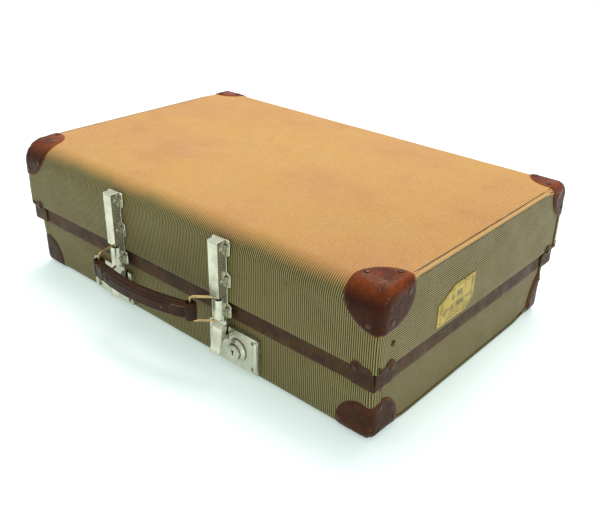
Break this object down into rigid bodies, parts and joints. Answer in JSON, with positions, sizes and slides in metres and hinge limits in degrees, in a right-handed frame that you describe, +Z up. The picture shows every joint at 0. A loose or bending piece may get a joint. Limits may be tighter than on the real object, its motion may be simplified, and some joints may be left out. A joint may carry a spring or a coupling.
{
  "type": "hard suitcase",
  "caption": "Vintage covered fibreboard suitcase lying flat, with capped corners, rim band, long latches with key locks and a ring-hung leather grip.",
  "frame": {"origin": "in the plane that the case rests on, below the middle of the whole object's box, handle included", "axes": "+X along the front to the right, +Y from the handle to the hinges, +Z up from the base to the lid"},
  "size_m": [0.603, 0.4402, 0.1815],
  "materials": {
    "striped_cloth": "striped book cloth over board, satin with wear",
    "rim_fibre": "brown vulcanised fibre, satin",
    "corner_fibre": "red-brown pressed fibre, glossy with scuffs",
    "nickel": "dull nickel plate",
    "brass": "tarnished brass wire",
    "grip_leather": "dark brown ribbed leather",
    "lining_paper": "plain lining paper",
    "label_paper": "yellow paper, plain pattern"
  },
  "bodies": {
    "base": {"base_wrap_board": "striped_cloth", "base_end_panel_left": "striped_cloth", "base_end_panel_right": "striped_cloth", "base_lining": "lining_paper", "base_cap_front_left": "corner_fibre", "base_cap_front_right": "corner_fibre", "base_cap_rear_left": "corner_fibre", "base_cap_rear_right": "corner_fibre", "lock_plate_left": "nickel", "lock_collar_left": "nickel", "lock_screw_left_outer_upper": "nickel", "lock_screw_left_outer_lower": "nickel", "lock_screw_left_inner_lower": "nickel", "hinge_base_leaf_left": "nickel", "hinge_pin_left": "nickel", "lock_plate_right": "nickel", "lock_collar_right": "nickel", "lock_screw_right_outer_upper": "nickel", "lock_screw_right_outer_lower": "nickel", "lock_screw_right_inner_lower": "nickel", "hinge_base_leaf_right": "nickel", "hinge_pin_right": "nickel"},
    "lid": {"lid_wrap_board": "striped_cloth", "lid_end_panel_left": "striped_cloth", "lid_end_panel_right": "striped_cloth", "lid_lining": "lining_paper", "lid_rim_band": "rim_fibre", "end_label": "label_paper", "lid_cap_front_left": "corner_fibre", "lid_cap_front_right": "corner_fibre", "lid_cap_rear_left": "corner_fibre", "lid_cap_rear_right": "corner_fibre", "rim_corner_front_left": "rim_fibre", "rim_corner_front_right": "rim_fibre", "rim_corner_rear_left": "rim_fibre", "rim_corner_rear_right": "rim_fibre", "latch_back_plate_left": "nickel", "latch_channel_left": "nickel", "ring_sleeve_left": "nickel", "hasp_pin_left": "nickel", "hinge_lid_leaf_left": "nickel", "latch_back_plate_right": "nickel", "latch_channel_right": "nickel", "ring_sleeve_right": "nickel", "hasp_pin_right": "nickel", "hinge_lid_leaf_right": "nickel"},
    "hasp_left": {"hasp_left": "nickel"},
    "key_barrel_left": {"key_barrel_left": "nickel"},
    "lock_bolt_left": {"lock_bolt_left": "nickel"},
    "ring_left": {"handle_ring_left": "brass"},
    "hasp_right": {"hasp_right": "nickel"},
    "key_barrel_right": {"key_barrel_right": "nickel"},
    "lock_bolt_right": {"lock_bolt_right": "nickel"},
    "ring_right": {"handle_ring_right": "brass"},
    "handle": {"handle_grip": "grip_leather", "handle_rivet_left": "brass", "handle_rivet_right": "brass"}
  },
  "joints": [
    {"name": "lid_hinge", "type": "hinge", "parent": "base", "child": "lid", "pos_m": [0, 0.21286, 0.0657], "axis": [-1, 0, 0], "range_deg": [0, 110]},
    {"name": "hasp_left_hinge", "type": "hinge", "parent": "lid", "child": "hasp_left", "pos_m": [-0.092, -0.17194, 0.0675], "axis": [-1, 0, 0], "range_deg": [0, 40]},
    {"name": "hasp_right_hinge", "type": "hinge", "parent": "lid", "child": "hasp_right", "pos_m": [0.092, -0.17194, 0.0675], "axis": [-1, 0, 0], "range_deg": [0, 40]},
    {"name": "key_left_turn", "type": "hinge", "parent": "base", "child": "key_barrel_left", "pos_m": [-0.128, -0.16444, 0.032], "axis": [0, 1, 0], "range_deg": [0, 90]},
    {"name": "bolt_left_slide", "type": "slide", "parent": "base", "child": "lock_bolt_left", "axis": [1, 0, 0], "range_m": [0, 0.0061]},
    {"name": "key_right_turn", "type": "hinge", "parent": "base", "child": "key_barrel_right", "pos_m": [0.109, -0.16444, 0.032], "axis": [0, 1, 0], "range_deg": [0, 90]},
    {"name": "bolt_right_slide", "type": "slide", "parent": "base", "child": "lock_bolt_right", "axis": [-1, 0, 0], "range_m": [0, 0.0061]},
    {"name": "ring_left_swing", "type": "hinge", "parent": "lid", "child": "ring_left", "pos_m": [-0.092, -0.17764, 0.0845], "axis": [0, 0, 1], "range_deg": [0, 30]},
    {"name": "ring_right_swing", "type": "hinge", "parent": "lid", "child": "ring_right", "pos_m": [0.092, -0.17764, 0.0845], "axis": [0, 0, 1], "range_deg": [0, 34.1]},
    {"name": "handle_pivot", "type": "hinge", "parent": "ring_left", "child": "handle", "pos_m": [-0.08449, -0.20565, 0.082], "axis": [0, 0, 1], "range_deg": [-36.3, 0]}
  ],
  "couplings": [
    {"joint": "ring_right_swing", "follows": "ring_left_swing", "ratio": 1.134},
    {"joint": "handle_pivot", "follows": "ring_left_swing", "ratio": -1.208},
    {"joint": "bolt_left_slide", "follows": "key_left_turn", "m_per_rad": 0.00382},
    {"joint": "bolt_right_slide", "follows": "key_right_turn", "m_per_rad": 0.00382}
  ]
}
